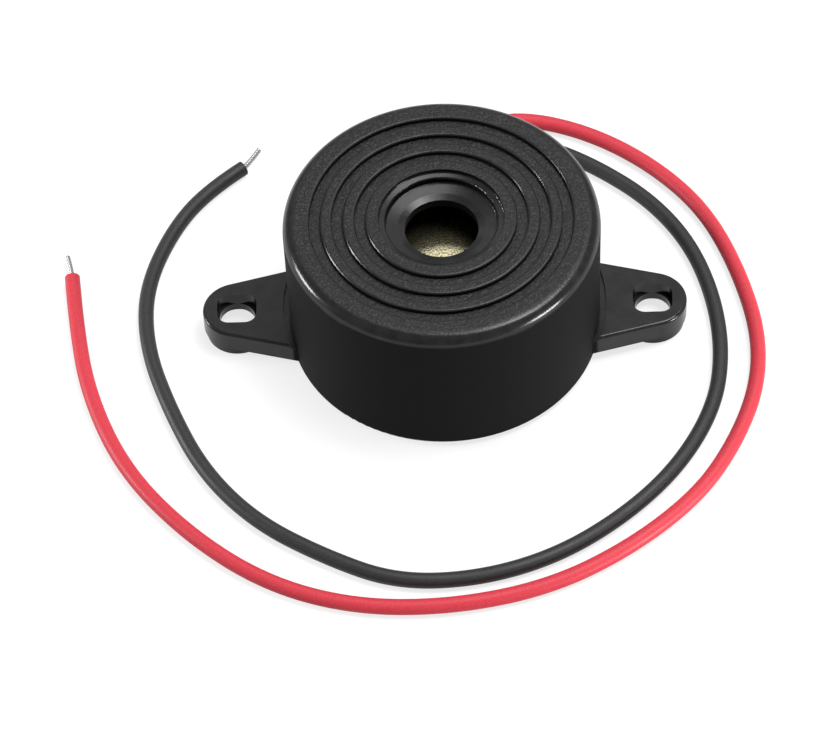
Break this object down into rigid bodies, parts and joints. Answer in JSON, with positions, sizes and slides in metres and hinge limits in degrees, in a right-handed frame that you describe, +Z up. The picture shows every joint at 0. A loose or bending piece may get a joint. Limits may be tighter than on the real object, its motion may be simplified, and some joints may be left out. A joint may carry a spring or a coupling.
{
  "type": "piezo buzzer",
  "caption": "Flange-mounted piezo buzzer: round ring-grooved case with a central sound port, slotted mounting ears and free red and black leads.",
  "frame": {"origin": "on the mounting surface under the middle of the round housing", "axes": "+X through the two mounting ears, +Y to the side where the leads leave, +Z up out of the sound port"},
  "size_m": [0.0677, 0.0609, 0.0159],
  "materials": {
    "case_plastic": "fine spark-eroded black moulding, glossier in the bowl",
    "cover_plastic": "plain black moulding",
    "brass_plate": "rolled brass, light and slightly dull",
    "silicone": "translucent white silicone",
    "piezo_disc": "matt fired ceramic",
    "silver": "fired silver",
    "board": "paper laminate",
    "copper": "bare copper",
    "solder": "bright solder",
    "black_epoxy": "moulded black case",
    "resistor_body": "beige lacquer",
    "tinned_wire": "tinned copper wire",
    "jumper_insulation": "thin pale sleeve",
    "red_insulation": "satin red PVC",
    "black_insulation": "satin black PVC"
  },
  "bodies": {
    "root": {"housing": "case_plastic", "back_cover": "cover_plastic", "diaphragm_glue": "silicone", "diaphragm_plate": "brass_plate", "piezo_ceramic": "piezo_disc", "main_electrode": "silver", "feedback_electrode": "silver", "circuit_board": "board", "board_copper": "copper", "board_solder": "solder", "transistor_case": "black_epoxy", "transistor_wires": "tinned_wire", "load_resistor": "resistor_body", "load_resistor_wires": "tinned_wire", "bias_resistor": "resistor_body", "bias_resistor_wires": "tinned_wire", "feedback_resistor": "resistor_body", "feedback_resistor_wires": "tinned_wire", "element_solder": "solder", "plate_jumper": "jumper_insulation", "main_jumper": "jumper_insulation", "feedback_jumper": "jumper_insulation", "red_lead": "red_insulation", "red_lead_tip": "tinned_wire", "black_lead": "black_insulation", "black_lead_tip": "tinned_wire", "lead_tails": "tinned_wire"}
  },
  "joints": []
}
